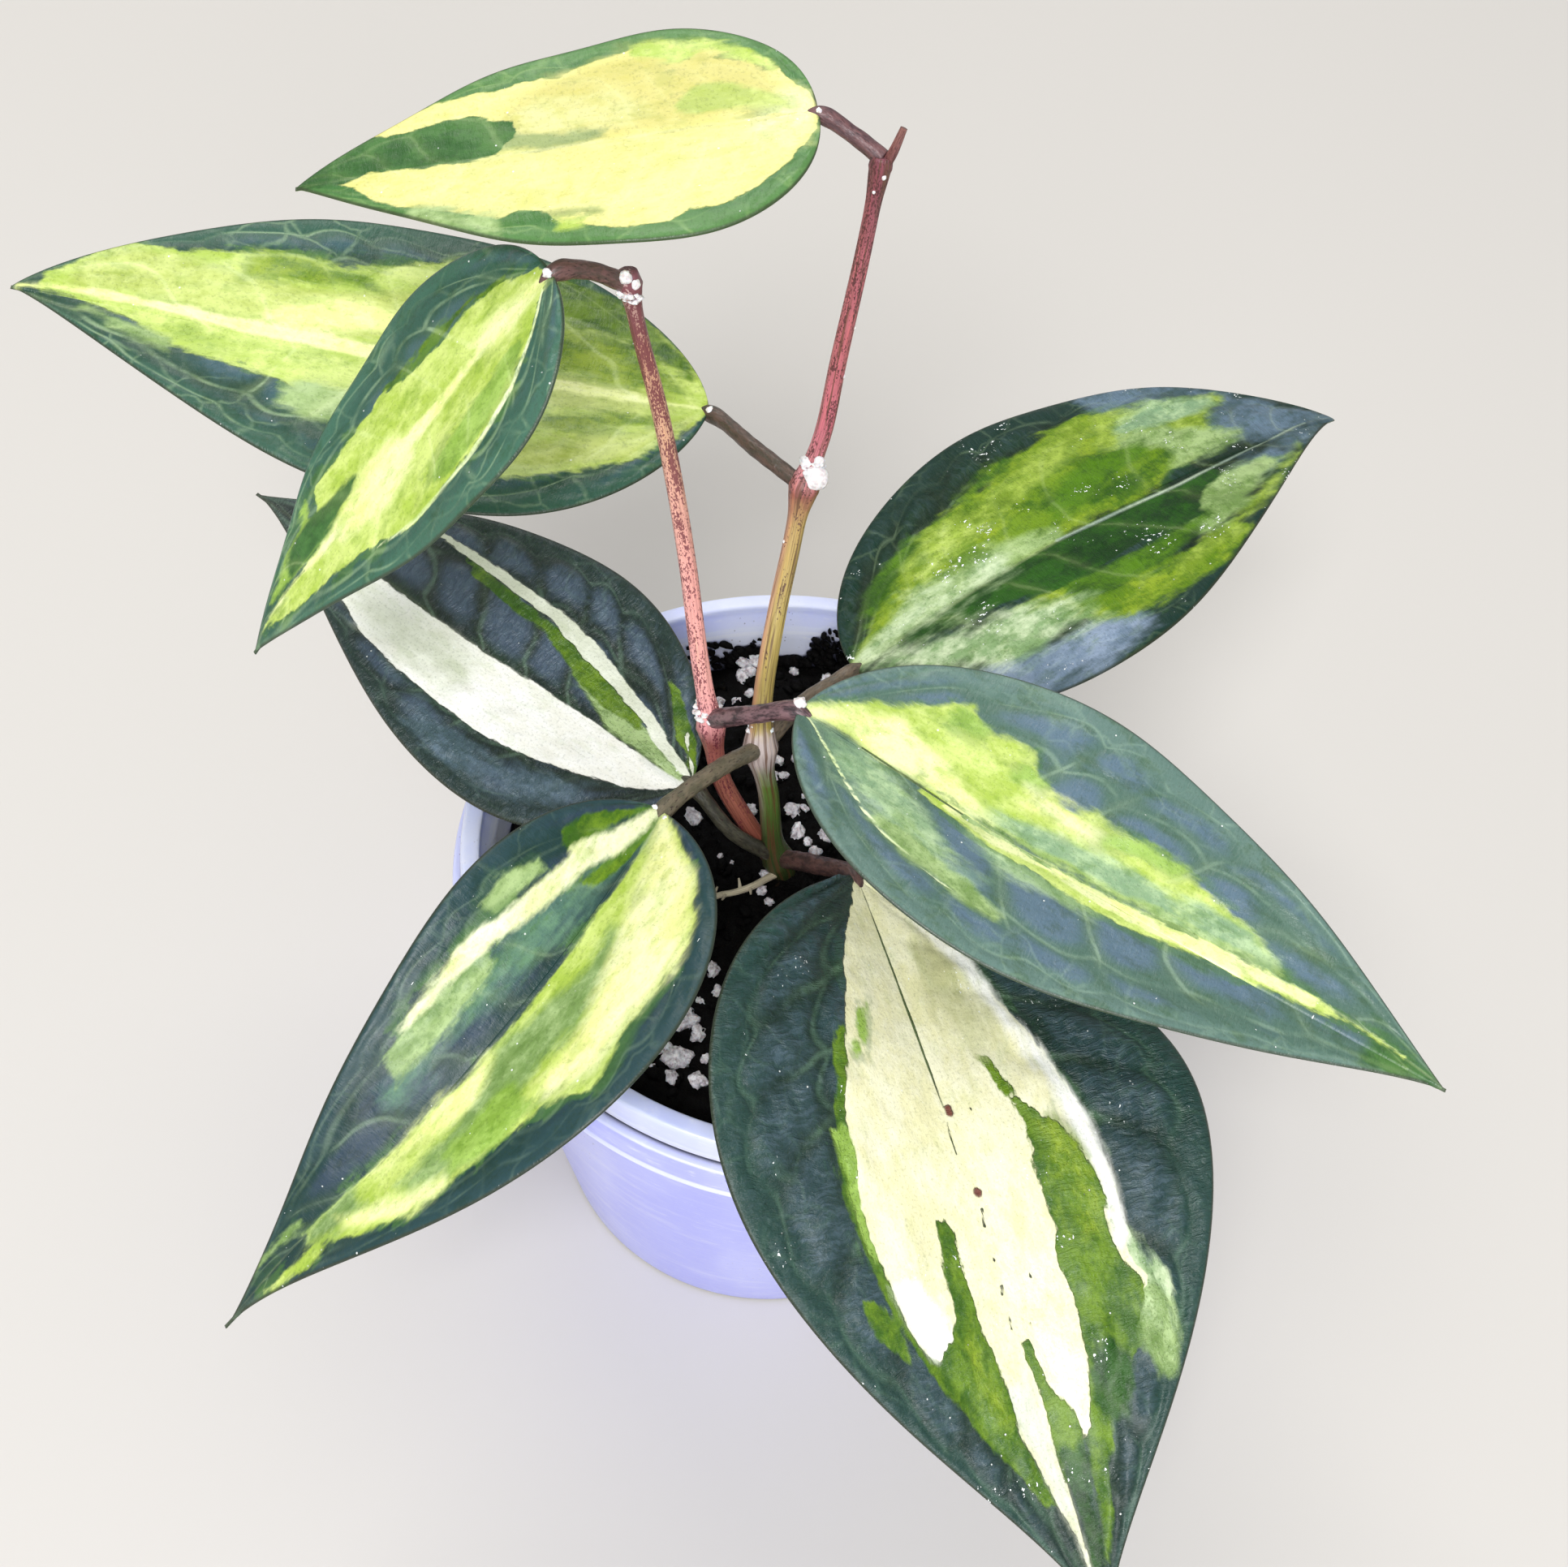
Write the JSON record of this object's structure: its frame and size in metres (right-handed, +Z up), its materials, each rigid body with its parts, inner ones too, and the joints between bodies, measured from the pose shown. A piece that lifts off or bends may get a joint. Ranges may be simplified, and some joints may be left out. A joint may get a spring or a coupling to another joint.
{
  "type": "potted hoya plant",
  "caption": "Young hoya plant with large variegated leaves on thin bare stems, growing in dark soil in a plastic liner pot that hangs in a plain outer pot.",
  "frame": {"origin": "middle of the outer pot's underside, on the surface that it stands on", "axes": "+Z up along the pot's axis; the plant's best side faces -Y, and +X is to the right seen from there"},
  "size_m": [0.2302, 0.2214, 0.1997],
  "materials": {
    "outer_pot": "smooth lavender plastic, satin",
    "liner_pot": "smooth lavender plastic, satin",
    "soil": "moist dark potting mix with white perlite",
    "perlite": "rough white volcanic crumbs",
    "stem": "waxy skin, pink to olive with dark specks",
    "latex": "dried white sap",
    "cream_leaf": "thick waxy leaf, cream centre and green margin",
    "lime_leaf": "thick waxy leaf, lime centre and blue-green margin",
    "dark_leaf": "thick waxy leaf, dark green with cream streaks"
  },
  "bodies": {
    "root": {"outer_pot": "outer_pot", "liner_pot": "liner_pot", "soil": "soil", "stems": "stem", "leaf_top": "cream_leaf", "leaf_back_left": "lime_leaf", "leaf_middle": "lime_leaf", "leaf_left": "dark_leaf", "leaf_front_left": "dark_leaf", "leaf_back_right": "lime_leaf", "leaf_right": "lime_leaf", "leaf_front": "cream_leaf"}
  },
  "joints": []
}
